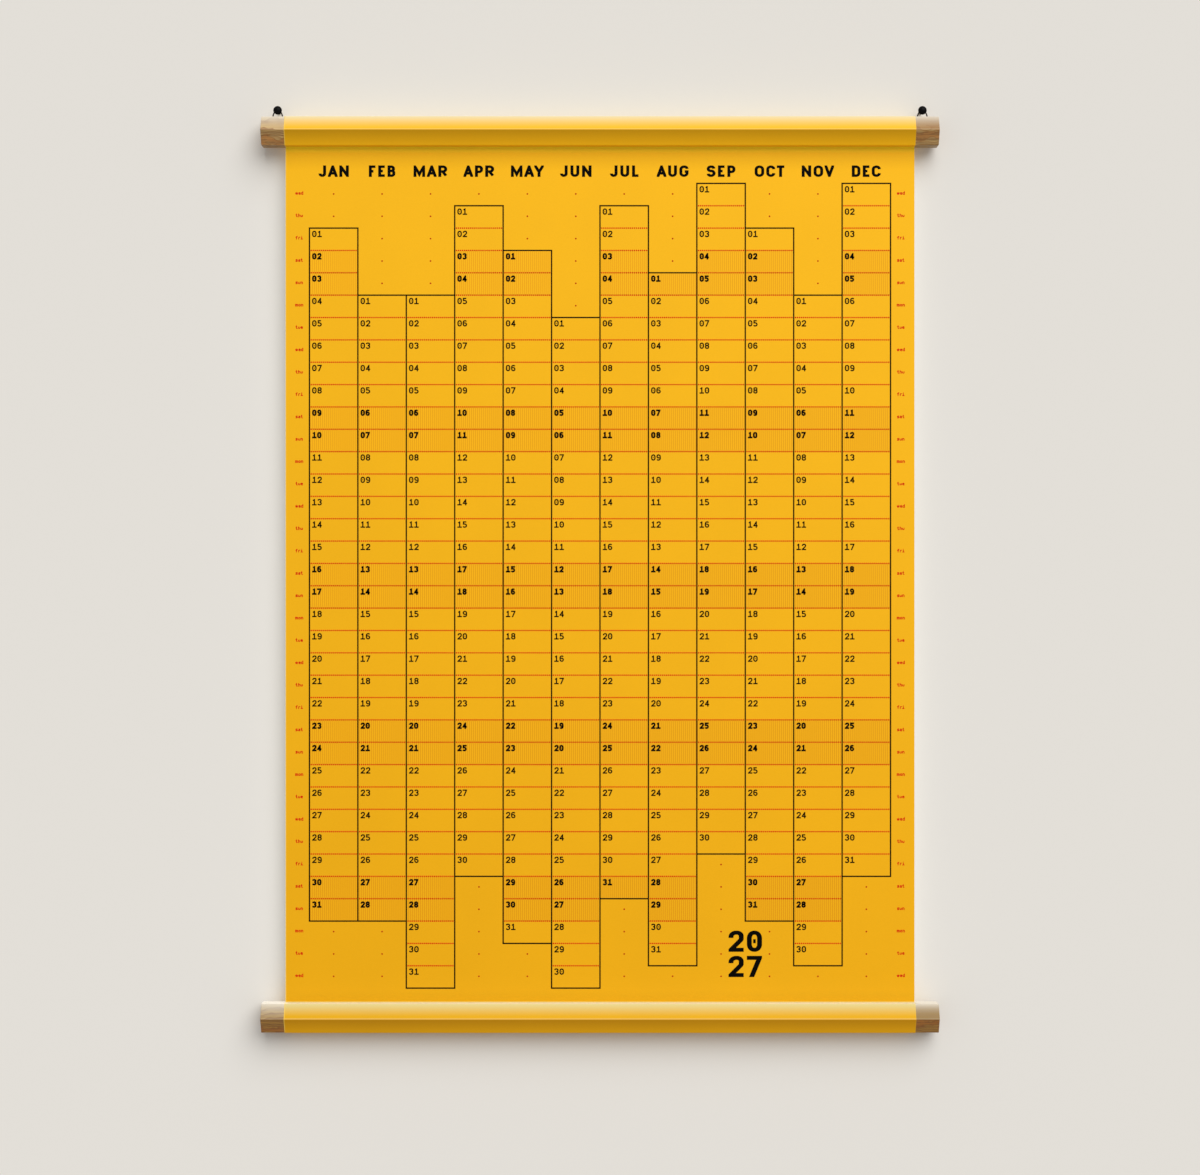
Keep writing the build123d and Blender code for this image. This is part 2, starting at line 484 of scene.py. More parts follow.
paper = {
    "rodApothem": 16 * mm,
    "rodEdge": 1 * mm,
    "clearance": 0.1 * mm,
    "seamRadius": 0.6 * mm,
    "glue": 0.1 * mm,
    "flap": 15 * mm,
    "flatSize": (0.700, 1.2043),
    "columns": 24,
    "rows": 30,
    "arcSteps": 6,
    "evenOver": 100 * mm,  # a longer run gets even rows, one over stepsOver a short step at each end
    "stepsOver": 4 * mm,
    "besideFold": 0.8 * mm,
    "sharpAngle": 40,
    "surface": (0.14, 1100.0, 9.0),  # gloss, scales of the fibres and the clouds
    "plainSurface": (0.3, 700.0, 20.0),
    "roughness": (0.42, 0.58),
    # the sheet goes from topColour down to footColour between these levels: painted falloff of light towards
    # the foot
    "colourLevels": (-1.0, -0.04),
    "topColour": (249, 185, 14),
    "footColour": (233, 168, 6),
    "sideLean": 0.08,  # painted light: how much lighter it is for each metre to the right
    # painted sheen that pales each sleeve towards its upper edge
    "paleSheen": (226, 228, 198),
    # painted light on each sleeve: the painted sheen's start, curve and share, the painted highlight along
    # the upper edge, and painted shade on the upper and lower faces
    "top_rod": {
        "sheenShape": {"Start": 0.0, "Curve": 1.7}, "paleShare": 0.72, "crestShare": 0.25,
        "overShade": (255, 255, 252), "underShade": (210, 208, 210),
    },
    "bottom_rod": {
        "sheenShape": {"Start": 3 * mm, "Curve": 1.3}, "paleShare": 0.62, "crestShare": 0.68,
        "overShade": (243, 251, 226), "underShade": (217, 210, 130),
    },
    # painted highlight along the upper edge of each sleeve
    "crest": (243, 230, 204),
    # painted highlight line just above the front ridge of each sleeve
    "ridgeHighlight": (250, 236, 196),
    "ridgeShare": 0.14,
    # how far below the fold the painted shadow of the upper sleeve starts, is full, thins and ends
    "headShade": (26 * mm, 15 * mm, 10 * mm, 5 * mm),
    "headTone": (246, 245, 246),
    "paintedSeamLight": (255, 232, 40),
    "seamLightReach": 7 * mm,  # how far the painted light reaches below the upper sleeve, lifting the shadow there
    "seamLightShare": 0.9,
    "footTone": (234, 238, 140),
    "footReach": 14 * mm,  # how far the painted shade reaches above the lower sleeve
    "footShare": 0.8,
    # painted highlight along the sheet's cut sides, stronger on the left
    "rim": (246, 208, 92),
    "leftRim": 0.9 * mm,
    "rightRim": 0.5 * mm,
    "rightRimShare": 0.2,
    "rimCore": 0.6,  # share of a rim that has its full colour
    "plainBack": ((240, 237, 227), (245, 242, 233)),
}
sleeveReach = paper["rodApothem"] + paper["clearance"] + paperThickness


def sleeveCorner(number, level, shift):
    middle = paper["clearance"] + paperThickness / 2 + shift
    reach = (paper["rodApothem"] + middle) / math.cos(math.pi / 6)
    angle = number * math.pi / 3
    return (reach * math.cos(angle), level + reach * math.sin(angle), paper["rodEdge"] + middle)


def sheetCorners(shift):
    # depth from the middle of the hanging paper, level, corner radius
    toSeam = sleeveReach - paperThickness / 2 + shift
    topLevel, footLevel = rodLevel["top_rod"], rodLevel["bottom_rod"]
    flapDepth = paperThickness + paper["glue"] + shift
    seam = paper["seamRadius"] - shift
    return [
        (flapDepth, topLevel - sleeveReach - paper["flap"], 0),
        (flapDepth, topLevel - toSeam, seam),
        *[sleeveCorner(number, topLevel, shift) for number in range(-1, 5)],
        (-shift, topLevel - toSeam, seam),
        (-shift, footLevel + toSeam, seam),
        *[sleeveCorner(number, footLevel, shift) for number in range(2, 8)],
        (flapDepth, footLevel + toSeam, seam),
        (flapDepth, footLevel + sleeveReach + paper["flap"], 0),
    ]


def subdivided(path):
    divided = []
    for start, end in zip(path, path[1:]):
        divided.append(start)
        length = (end - start).length
        if length > paper["evenOver"]:
            divided += [start.lerp(end, step / paper["rows"]) for step in range(1, paper["rows"])]
        elif length > paper["stepsOver"]:
            share = paper["besideFold"] / length
            divided += [start.lerp(end, share), end.lerp(start, share)]
    return divided + [path[-1]]


printedSide, plainSide = [
    subdivided(roundedPath(sheetCorners(shift), paper["arcSteps"]))
    for shift in (paperThickness / 2, -paperThickness / 2)
]
around = printedSide + plainSide[::-1]
ringSize, sideSize = len(around), len(printedSide)
acrossSteps = paper["columns"]
vertices = []
for step in range(acrossSteps + 1):
    x = sheetLow.x + (sheetHigh.x - sheetLow.x) * step / acrossSteps
    vertices += [(x, sheetMiddle + depth, level) for depth, level in around]
faces, faceKinds = [], []
for step in range(acrossSteps):
    here, beyond = step * ringSize, (step + 1) * ringSize
    for place in range(ringSize):
        following = (place + 1) % ringSize
        faces.append((here + place, here + following, beyond + following, beyond + place))
        faceKinds.append(0 if place < sideSize - 1 else 1)
for offset in (0, acrossSteps * ringSize):
    for place in range(sideSize - 1):
        quad = (place, place + 1, ringSize - 2 - place, ringSize - 1 - place)
        faces.append(tuple(offset + corner for corner in quad))
        faceKinds.append(1)
sheetMesh = newMesh("foldedSheet", vertices, faces=faces)
sheetMesh.polygons.foreach_set("material_index", faceKinds)
work = bmesh.new()
work.from_mesh(sheetMesh)
finishMesh(work, sheetMesh, paper["sharpAngle"])


def dressPaper(shader, colour, fibre):
    roughness = spread(fibre, 0.2, 0.8, *paper["roughness"])
    dress(shader, colour, roughness, fibre, 0.25, 0.04 * mm)


printedPaper, shader, point, fibre, cloud = toothedMaterial("printedPaper", *paper["surface"])
x, y, z = axes(point)
# painted falloff of light: the sheet is darker towards the foot
base = blend(spread(z, *paper["colourLevels"]), paper["footColour"], paper["topColour"])
# painted light growing to the right, times a random cloudy tone
lean = plus(times(x, paper["sideLean"]), spread(cloud, 0.3, 0.7, 0.985, 1.015))
base = scaled(1.0, base, times(lean, spread(fibre, 0.25, 0.75, 0.975, 1.025)))
for rodName in rodNames:
    own = paper[rodName]
    lift = useGroup(liftGroup, {
        "Point": point, "Level": rodLevel[rodName], "Reach": sleeveReach, **own["sheenShape"],
    })
    # painted light on each sleeve: painted sheen, painted shade on the upper and lower faces, and painted
    # highlights on the ridge and the upper edge
    base = blend(times(lift["Fade"], own["paleShare"]), base, paper["paleSheen"])
    base = shaded(lift["Over"], base, own["overShade"])
    base = shaded(lift["Under"], base, own["underShade"])
    base = blend(times(lift["Ridge"], paper["ridgeShare"]), base, paper["ridgeHighlight"])
    base = blend(times(lift["Crest"], own["crestShare"]), base, paper["crest"])
upperFold = rodLevel["top_rod"] - sleeveReach
lowerFold = rodLevel["bottom_rod"] + sleeveReach
# painted shadow of the upper sleeve on the sheet
start, full, thins, ends = [upperFold - down for down in paper["headShade"]]
headShade = times(spread(z, start, full), spread(z, thins, ends, 1.0, 0.0))
base = shaded(headShade, base, paper["headTone"])
# painted light that lifts the shadow just below the upper sleeve
paintedSeamLight = spread(z, upperFold - paper["seamLightReach"], upperFold)
paintedSeamLight = times(paintedSeamLight, calc("LESS_THAN", z, upperFold))
base = blend(times(paintedSeamLight, paper["seamLightShare"]), base, paper["paintedSeamLight"])
# painted shade on the sheet just above the lower sleeve
paintedFootShade = spread(z, lowerFold + paper["footReach"], lowerFold)
paintedFootShade = times(paintedFootShade, calc("GREATER_THAN", z, lowerFold))
base = shaded(times(paintedFootShade, paper["footShare"]), base, paper["footTone"])
# painted highlight along the left and right cut sides, broken up by the fibre noise
leftRim, rightRim, core = paper["leftRim"], paper["rightRim"], paper["rimCore"]
highlightBreakup = spread(fibre, 0.3, 0.6, 0.6, 0.85)
leftRim = times(spread(x, sheetLow.x + leftRim, sheetLow.x + core * leftRim), highlightBreakup)
rightRim = spread(x, sheetHigh.x - rightRim, sheetHigh.x - core * rightRim)
rightRim = times(rightRim, paper["rightRimShare"])
base = blend(calc("MAXIMUM", leftRim, rightRim), base, paper["rim"])
dressPaper(shader, base, fibre)
sheetMesh.materials.append(printedPaper)

plainPaper, shader, point, fibre, cloud = toothedMaterial("plainPaper", *paper["plainSurface"])
base = blend(spread(times(fibre, cloud), 0.1, 0.45), *paper["plainBack"])
dress(shader, base, spread(fibre, 0.2, 0.8, 0.6, 0.8), fibre, 0.4, 0.05 * mm)
sheetMesh.materials.append(plainPaper)
foldedSheet = newObject("foldedSheet", sheetMesh)
settle(foldedSheet, "yellow_paper", "planner_sheet")
print("sheet folded,", len(sheetMesh.polygons), "faces")


# Rods

wood = {
    "gloss": 0.4,
    "pale": (204, 172, 116),
    "brown": (146, 98, 46),
    "pores": (112, 74, 36),
    # painted sheen on the upper faces, with painted highlights on the ridge and along the upper edge
    "sheen": (224, 216, 198),
    "sheenShare": 0.8,
    "ridgeShare": 0.1,
    "crest": (222, 212, 194),
    "ringSpacing": 2.6 * mm,
    "ringSlant": 0.012,
    "sway": 16 * mm,
    "curl": 11 * mm,
    "lateEdge": 2.2,  # how sharply each ring ends
    "heartwood": (192, 128, 62),
    "band": (0.62, 0.48),  # slope and middle on the lower face
    "ridgeBlur": 0.4 * mm,
    "faceReach": 16 * mm,
    "sides": (-0.37, 0.37),  # from where to where the right end gets darker
    # heart is how far back and up it lies and the offset of its rings, lean how much
    # darker the right end is, and rightCurve how much sooner the painted sheen fades there
    # tone, overTone and underTone are painted shade on the whole rod, its upper faces and its lower faces
    "top_rod": {
        "heart": (11 * mm, -21 * mm, 1.7), "crestShare": 0.3,
        "tone": (255, 255, 255), "overTone": (255, 255, 255), "underTone": (224, 219, 206),
        "lean": 0.82, "leanTo": (148, 104, 48), "rightCurve": 1.15,
    },
    "bottom_rod": {
        "heart": (7 * mm, -26 * mm, 4.1), "crestShare": 0.5,
        "tone": (230, 228, 214), "overTone": (233, 231, 224), "underTone": (218, 195, 137),
        "lean": 0.9, "leanTo": (138, 106, 46), "rightCurve": 1.8,
    },
}


def grainNoise(point, along, across, detail, roughness=0.55, distortion=0.0):
    return noise(stretched(point, along, across, across), 1.0, detail, roughness, distortion)


grainGroup, taken, sent = shaderGroup("woodGrain", [
    ("Heart", "Vector", None), ("Ring Spacing", "Float", 0.0026), ("Offset", "Float", 0.0),
], ["Ring", "Pore", "Streak"])
point = taken["Point"]
x, y, z = axes(shade("VectorMath", {0: point, 1: taken["Heart"]}, operation="SUBTRACT")[0])
sway = times(minus(grainNoise(point, 9, 22, 2, 0.5, 0.4), 0.5), wood["sway"])
curl = minus(grainNoise(point, 48, 70, 1, 0.4), 0.5)
swayed = calc("MULTIPLY_ADD", curl, wood["curl"], sway)
y = plus(y, plus(swayed, times(x, wood["ringSlant"])))
fromHeart = calc("SQRT", plus(times(y, y), times(z, z)))
rings = plus(calc("DIVIDE", fromHeart, taken["Ring Spacing"]), taken["Offset"])
fill(sent, {
    "Ring": calc("POWER", calc("FRACT", rings), wood["lateEdge"]),
    "Pore": grainNoise(point, 120, 2600, 2, 0.6),
    "Streak": grainNoise(point, 14, 420, 3, 0.6),
})

for rodName in rodNames:
    own, level = wood[rodName], rodLevel[rodName]
    back, up, offset = own["heart"]
    rodWood, shader, point = newMaterial(rodName.replace("_", "") + "Wood", wood["gloss"])
    grain = useGroup(grainGroup, {
        "Point": point, "Heart": (0, sheetMiddle + back, level + up),
        "Ring Spacing": wood["ringSpacing"], "Offset": offset,
    })
    lift = useGroup(liftGroup, {"Point": point, "Level": level, "Reach": wood["faceReach"], "Curve": 1.6})
    late, streak = times(grain["Ring"], 0.75), grain["Streak"]
    figure = calc("ADD", late, spread(streak, 0.35, 0.75, 0.0, 0.45), clamp=True)
    pores = spread(grain["Pore"], 0.58, 0.72, 0.0, 0.35)
    base = blend(figure, wood["pale"], wood["brown"])
    base = blend(pores, base, wood["pores"])
    x, y, z = axes(point)
    below = spread(z, level + wood["ridgeBlur"], level - wood["ridgeBlur"])
    patch = minus(grainNoise(point, 60, 150, 2), 0.5)
    wander = calc("MULTIPLY_ADD", patch, 1.6, lift["Under"])
    offBand = minus(wander, calc("MULTIPLY_ADD", x, *wood["band"]))
    offBand = calc("ABSOLUTE", offBand)
    redder = spread(offBand, 0.04, 0.36, 0.72, 0.0)
    base = blend(times(redder, below), base, wood["heartwood"])
    vein = spread(calc("ABSOLUTE", minus(offBand, 0.2)), 0.03, 0.1, 0.55, 0.0)
    base = blend(times(vein, below), base, wood["brown"])
    base = scaled(below, base, spread(streak, 0.32, 0.68, 1.26, 0.78))
    # painted shade on the lower face, on the upper face and over the whole rod
    base = shaded(below, base, own["underTone"])
    base = shaded(lift["Over"], base, own["overTone"])
    base = shaded(1.0, base, own["tone"])
    lean = times(spread(x, *wood["sides"], 0.0, own["lean"]), lift["Over"])
    base = blend(lean, base, own["leanTo"])
    # painted sheen rising to the upper edge, then painted highlights on the ridge and along the upper edge
    sheen = calc("POWER", lift["Fade"], spread(x, *wood["sides"], 1.0, own["rightCurve"]))
    base = blend(times(sheen, wood["sheenShare"]), base, wood["sheen"])
    base = blend(times(lift["Ridge"], wood["ridgeShare"]), base, wood["sheen"])
    base = blend(times(lift["Crest"], own["crestShare"]), base, wood["crest"])
    roughness = spread(grain["Ring"], 0.0, 1.0, 0.5, 0.4)
    dress(shader, base, roughness, minus(grain["Ring"], pores), 0.2, 0.1 * mm)
    repaint(rodName, rodWood)
print("rods grained")


# Adhesive strips

tape = {"colours": ((214, 202, 168), (236, 228, 204)), "surface": (0.5, 350.0, 60.0)}

tapeMaterial, shader, point, fibre, cloud = toothedMaterial("adhesiveTape", *tape["surface"])
roughness = spread(cloud, 0.3, 0.7, 0.25, 0.45)
dress(shader, blend(fibre, *tape["colours"]), roughness, cloud, 0.3, 0.1 * mm)
for nodeName in ("top_adhesive_strip", "bottom_adhesive_strip"):
    repaint(nodeName, tapeMaterial)
print("strips coloured")


# Parts placed on points: nails, dots of empty cells and all type

placeTree, taken, sent = geometryTree("placeParts", [
    ("Parts", "Collection", None), ("Finish", "Material", None),
])
part = addNode(placeTree, "GeometryNodeInputNamedAttribute", {"Name": "part"}, data_type="INT")
placed = geo("InstanceOnPoints", {
    "Points": taken["Geometry"], "Pick Instance": True,
    "Instance": geo("CollectionInfo", {"Collection": taken["Parts"], "Separate Children": True}),
    "Instance Index": part.outputs[0],
})
finishTree(placed, taken["Finish"], sent)


def placeParts(name, partMeshes, places, material):
    # places are (part number, point)
    shelf = bpy.data.collections.new(name + "Parts")
    bpy.context.scene.collection.children.link(shelf)
    for number, mesh in enumerate(partMeshes):
        shelf.objects.link(bpy.data.objects.new(f"{name}{number:03d}", mesh))
    numbers, points = zip(*places)
    seedMesh = newMesh(name + "Seed", points)
    seedMesh.attributes.new("part", "INT", "POINT").data.foreach_set("value", numbers)
    made = grow(name, seedMesh, placeTree, {"Parts": shelf, "Finish": material})
    for holder in list(shelf.objects):
        bpy.data.objects.remove(holder)
    bpy.data.collections.remove(shelf)
    made.data.attributes.remove(made.data.attributes["part"])
    return made


# Nails

nail = {
    "headRadius": 4.8 * mm,
    "dome": 2.4 * mm,
    "rim": 0.6 * mm,
    "rimRound": 0.22 * mm,
    "neckRadius": 1.5 * mm,
    "neckLength": 4 * mm,
    "shankRadius": 1.2 * mm,
    "point": 4 * mm,
    "tipRadius": 0.12 * mm,
    "chamfer": 0.15 * mm,
    "turns": 48,
    "domeSteps": 10,
    "sharpAngle": 50,
    "gloss": 0.06,
    "colours": ((3, 3, 4), (10, 10, 12)),
}


def nailProfile():
    # radius and depth from the top of the dome
    head, dome, bend = nail["headRadius"], nail["dome"], nail["rimRound"]
    neck, shank, chamfer = nail["neckRadius"], nail["shankRadius"], nail["chamfer"]
    under = dome + nail["rim"]
    neckEnd = under + nail["neckLength"]
    full = nailsHigh.y - nailsLow.y
    ball = (head ** 2 + dome ** 2) / (2 * dome)
    angles = [math.asin(head / ball) * step / nail["domeSteps"] for step in range(nail["domeSteps"])]
    return [(ball * math.sin(angle), ball * (1 - math.cos(angle))) for angle in angles] + [
        (head - 0.35 * bend, dome - 0.3 * bend),
        (head, dome + 0.5 * bend),
        (head, under - bend),
        (head - 0.3 * bend, under - 0.3 * bend),
        (head - bend, under),
        (neck + chamfer, under),
        (neck, under + chamfer),
        (neck, neckEnd - chamfer),
        (neck - chamfer, neckEnd),
        (shank, neckEnd),
        (shank, full - nail["point"]),
        (shank * 0.9, full - nail["point"] + 2 * chamfer),
        (nail["tipRadius"], full - chamfer),
        (0.0, full),
    ]


def turnedMesh(name, profile, turns):
    work = bmesh.new()
    angles = [2 * math.pi * step / turns for step in range(turns)]
    rings = []
    for radius, depth in profile:
        points = [(radius * math.cos(a), depth, radius * math.sin(a)) for a in angles]
        rings.append([work.verts.new(point) for point in (points if radius > 0 else points[:1])])
    for inner, outer in zip(rings, rings[1:]):
        for step in range(turns):
            following = (step + 1) % turns
            corners = [inner[step % len(inner)], outer[step % len(outer)]]
            corners += [outer[following % len(outer)], inner[following % len(inner)]]
            work.faces.new(list(dict.fromkeys(corners)))
    return finishMesh(work, bpy.data.meshes.new(name), nail["sharpAngle"])


nailBlack, shader, point = newMaterial("nailBlack", nail["gloss"])
specks = noise(point, 1800, 3)
smears = noise(point, 260, 2)
base = blend(spread(smears, 0.35, 0.75), *nail["colours"])
dress(shader, base, spread(specks, 0.3, 0.7, 0.32, 0.48), specks, 0.12, 0.05 * mm)
nailLevel = (nailsLow.z + nailsHigh.z) / 2
nailAside = nailsHigh.x - nail["headRadius"]
nailMesh = turnedMesh("turnedNail", nailProfile(), nail["turns"])
nailPlaces = [(0, (side * nailAside, nailsLow.y, nailLevel)) for side in (-1, 1)]
settle(placeParts("turnedNails", [nailMesh], nailPlaces, nailBlack), "nail", "nails")
print("nails turned")


# Print

printing = {
    "year": 2027,
    "topRowWeekday": 2,  # wednesday
    "frameLine": 1.2 * mm,
    "frameSpread": 0.3 * mm,  # how much wider the ink has run
    "fieldInk": 0.1 * mm,  # of the frames and the weekend fields
    "typeInk": 0.05 * mm,
    "dotCount": 23,
    "dotDiameter": 1.8 * mm,
    "dotLineInset": 2.0 * mm,
    "emptyDotRadius": 0.95 * mm,
    "emptyDotRise": 0.7 * mm,
    "inkScales": (1400.0, 30.0),
    # colour, colour where it is thin, gloss
    "inks": {
        "blackInk": ((3, 2, 1), (12, 9, 5), 0.03),
        "thinInk": ((8, 5, 2), (30, 20, 6), 0.03),
        "frameInk": ((10, 7, 2), (36, 24, 8), 0.03),
        "redInk": ((210, 14, 2), (217, 36, 4), 0.06),
        "brownInk": ((180, 30, 2), (196, 56, 4), 0.06),
    },
    "hatchPitch": 2.27 * mm,
    "hatchedFoot": ((236, 170, 8), (220, 147, 2)),  # ground and stripe
    "hatchedTop": ((252, 186, 14), (238, 164, 7)),
}
halfLine = printing["frameLine"] / 2
gridLeft, gridRight = framesLow.x + halfLine, framesHigh.x - halfLine
gridFoot, gridTop = framesLow.z + halfLine, framesHigh.z - halfLine
months = []
for number in range(12):
    weekday, days = monthrange(printing["year"], number + 1)
    months.append((number, (weekday - printing["topRowWeekday"]) % 7, days))
rowCount = max(first + days for number, first, days in months)
columnWidth = (gridRight - gridLeft) / len(months)
rowHeight = (gridTop - gridFoot) / rowCount
fieldFront = paperFront - printing["fieldInk"]


def rowLevel(row):
    return gridTop - row * rowHeight


def columnAt(number):
    return gridLeft + number * columnWidth


ink = {}
for name, (colour, thinColour, gloss) in printing["inks"].items():
    ink[name], shader, point, fibre, cloud = toothedMaterial(name, gloss, *printing["inkScales"])
    thin = spread(times(fibre, cloud), 0.18, 0.42, 0.0, 0.45)
    roughness = spread(fibre, 0.2, 0.8, 0.4, 0.6)
    dress(shader, blend(thin, colour, thinColour), roughness, fibre, 0.2, 0.03 * mm)

weekendTint, shader, point, fibre, cloud = toothedMaterial("weekendTint", *paper["surface"])
x, y, z = axes(point)
stripe = calc("FRACT", calc("DIVIDE", plus(x, 1.0), printing["hatchPitch"]))
stripe = spread(calc("ABSOLUTE", minus(stripe, 0.5)), 0.16, 0.3, 1.0, 0.0)
foot, top = [blend(stripe, *printing[colours]) for colours in ("hatchedFoot", "hatchedTop")]
# painted falloff of light: the hatched fields are darker towards the foot
base = blend(spread(z, *paper["colourLevels"]), foot, top)
dressPaper(shader, scaled(1.0, base, spread(fibre, 0.25, 0.75, 0.975, 1.025)), fibre)
repaint("weekend_fields", weekendTint)

dotTree, taken, sent = geometryTree("dottedLines", [
    ("Dots", "Int", 21), ("Diameter", "Float", 0.001), ("Ink Thickness", "Float", 0.0001),
    ("Finish", "Material", None),
])
lines = geo("MeshToCurve", {0: taken["Geometry"]})
spots = geo("CurveToPoints", {"Curve": lines, "Count": taken["Dots"]}, mode="COUNT")
disc = geo("MeshCylinder", {
    "Vertices": 6, "Radius": times(taken["Diameter"], 0.5), "Depth": taken["Ink Thickness"],
}, fill_type="NGON")
turned = geo("InstanceOnPoints", {"Points": spots, "Instance": disc, "Rotation": (math.pi / 2, 0, 0)})
finishTree(turned, taken["Finish"], sent)


def barsMesh(name, bars, near, far):
    vertices, faces = [], []
    for left, foot, right, top in bars:
        start = len(vertices)
        corners = ((left, foot), (right, foot), (right, top), (left, top))
        vertices += [(x, near, z) for x, z in corners] + [(x, far, z) for x, z in corners]
        faces += [tuple(start + corner for corner in quad) for quad in ((0, 1, 2, 3), (7, 6, 5, 4))]
        for side in range(4):
            following = (side + 1) % 4
            faces.append(tuple(start + corner for corner in (side, side + 4, following + 4, following)))
    return newMesh(name, vertices, faces=faces)


# one upright on each column line and two bars for each month, butted so that no two overlap
half = (printing["frameLine"] + printing["frameSpread"]) / 2
spans = [(rowLevel(first), rowLevel(first + days)) for number, first, days in months]
bars = []
for number in range(len(months) + 1):
    beside = spans[max(number - 1, 0):number + 1]
    x, foot, top = columnAt(number), min(foot for top, foot in beside), max(top for top, foot in beside)
    bars.append((x - half, foot - half, x + half, top + half))
for number, span in enumerate(spans):
    left, right = columnAt(number) + half, columnAt(number) + columnWidth - half
    bars += [(left, level - half, right, level + half) for level in span]
framesMesh = barsMesh("printedFrames", bars, fieldFront, paperFront)
framesMesh.materials.append(ink["frameInk"])
settle(newObject("printedFrames", framesMesh), "dark_ink", "month_frames")

lineEnds = []
lineDepth = paperFront - printing["fieldInk"] / 2
for number, first, days in months:
    left = columnAt(number) + printing["dotLineInset"]
    right = columnAt(number + 1) - printing["dotLineInset"]
    for day in range(1, days):
        lineEnds += [(x, lineDepth, rowLevel(first + day)) for x in (left, right)]
lineMesh = newMesh("rowLineSeed", lineEnds, [(n, n + 1) for n in range(0, len(lineEnds), 2)])
dottedRows = grow("dottedRows", lineMesh, dotTree, {
    "Dots": printing["dotCount"], "Diameter": printing["dotDiameter"],
    "Ink Thickness": printing["fieldInk"], "Finish": ink["redInk"],
})
settle(dottedRows, "orange_ink", "row_lines")

emptyCells = []
for number, first, days in months:
    for row in range(rowCount):
        if not first <= row < first + days:
            level = rowLevel(row + 0.5) + printing["emptyDotRise"]
            emptyCells.append((0, (columnAt(number + 0.5), paperFront - printing["typeInk"], level)))
dotRadius, dotDepth = printing["emptyDotRadius"], printing["typeInk"]
emptyDisc = turnedMesh("emptyDisc", [(0, 0), (dotRadius, 0), (dotRadius, dotDepth), (0, dotDepth)], 8)
settle(placeParts("emptyDots", [emptyDisc], emptyCells, ink["brownInk"]), "orange_ink")
print("fields printed,", len(lineEnds) // 2, "dotted rows,", len(emptyCells), "empty cells")


# Type: each sign is a few strokes in a unit box

def strokes(text):
    # a corner is x,z or x,z,rounding, and a bar stands between two strokes
    return [[tuple(map(float, corner.split(","))) for corner in stroke.split()] for stroke in text.split("|")]


def oval(left, foot, right, top, rounding=1):
    middle = (left, (foot + top) / 2)
    corners = [(x, z, rounding) for x, z in ((left, top), (right, top), (right, foot), (left, foot))]
    return [[middle, *corners, middle]]


signs = {sign: strokes(text) for sign, text in {
    "1": "0.08,0.78 0.52,1 0.52,0 | 0,0 1,0",
    "2": "0,0.69 0,1,1 1,1,1 1,0.6,0.7 0,0 1,0",
    "3": "0,0.8 0,1,1 0.97,1,1 0.97,0.54,1 0.4,0.54 | 0.4,0.54 1,0.54,1 1,0,1 0,0,1 0,0.2",
    "4": "0.76,0 0.76,1 0,0.27 1,0.27",
    "5": "0.94,1 0.08,1 0.08,0.59 1,0.59,1 1,0,1 0,0,1 0,0.18",
    "6": "0.92,0.84 0.92,1,0.9 0,1,1 0,0,1 1,0,1 1,0.58,1 0.22,0.58",
    "7": "0,1 1,1 0.3,0",
    "A": "0,0 0.5,1 1,0 | 0.2,0.26 0.8,0.26",
    "B": "0,0.3 0,1 0.92,1,0.9 0.92,0.53,0.9 0.25,0.53 | 0,0.53 1,0.53,0.9 1,0,0.9 0,0 0,0.4",
    "C": "1,0.72 1,1,1 0,1,1 0,0,1 1,0,1 1,0.28",
    "D": "0,0.5 0,1 1,1,1 1,0,1 0,0 0,0.5",
    "E": "1,1 0,1 0,0 1,0 | 0,0.51 0.88,0.51",
    "F": "1,1 0,1 0,0 | 0,0.49 0.86,0.49",
    "G": "1,0.76 1,1,1 0,1,1 0,0,1 1,0,1 1,0.46 0.62,0.46",
    "J": "1,1 1,0,1 0,0,1 0,0.24",
    "L": "0,1 0,0 1,0",
    "M": "0,0 0,1 0.5,0.14 1,1 1,0",
    "N": "0,0 0,1 1,0 1,1",
    "P": "0,0 0,1 1,1,1 1,0.42,1 0.25,0.42",
    "R": "0,0 0,1 0.96,1,1 0.96,0.46,1 0.25,0.46 | 0.45,0.46 1,0",
    "S": "0.97,0.78 0.97,1,1 0,1,1 0,0.53,1 1,0.53,1 1,0,1 0,0,1 0,0.22",
    "T": "0,1 1,1 | 0.5,1 0.5,0",
    "U": "0,1 0,0,1 1,0,1 1,1",
    "V": "0,1 0.5,0 1,1",
    "Y": "0,1 0.5,0.42 1,1 | 0.5,0.46 0.5,0",
    "a": "0.1,0.68 1,0.68,0.8 1,0 | 1,0.4 0,0.4,0.8 0,0,0.8 1,0",
    "d": "1,1 1,0 | 1,0.68 0,0.68,0.9 0,0,0.9 1,0",
    "e": "0.27,0.36 1,0.36 1,0.68,0.9 0,0.68,0.9 0,0,0.9 0.95,0",
    "f": "0.95,1 0.4,1,0.6 0.4,0 | 0,0.64 0.9,0.64",
    "h": "0,1 0,0 | 0,0.68 1,0.68,0.9 1,0",
    "i": "0.1,0.68 0.5,0.68 0.5,0 | 0,0 1,0 | 0.5,0.96 0.5,1",
    "m": "0,0 0,0.68 | 0,0.68 0.5,0.68,0.5 0.5,0 | 0.5,0.68 1,0.68,0.5 1,0",
    "n": "0,0 0,0.68 | 0,0.68 1,0.68,0.9 1,0",
    "r": "0.15,0 0.15,0.68 | 0.15,0.68 0.95,0.68",
    "s": "0.95,0.68 0,0.68,0.6 0,0.35,0.6 1,0.35,0.6 1,0,0.6 0,0",
    "t": "0.4,1 0.4,0,0.6 0.95,0 | 0,0.66 0.9,0.66",
    "u": "0,0.68 0,0,0.9 1,0,0.9 1,0.68",
    "w": "0,0.68 0.25,0 0.5,0.6 0.75,0 1,0.68",
}.items()}
signs["0"] = signs["O"] = oval(0, 0, 1, 1)
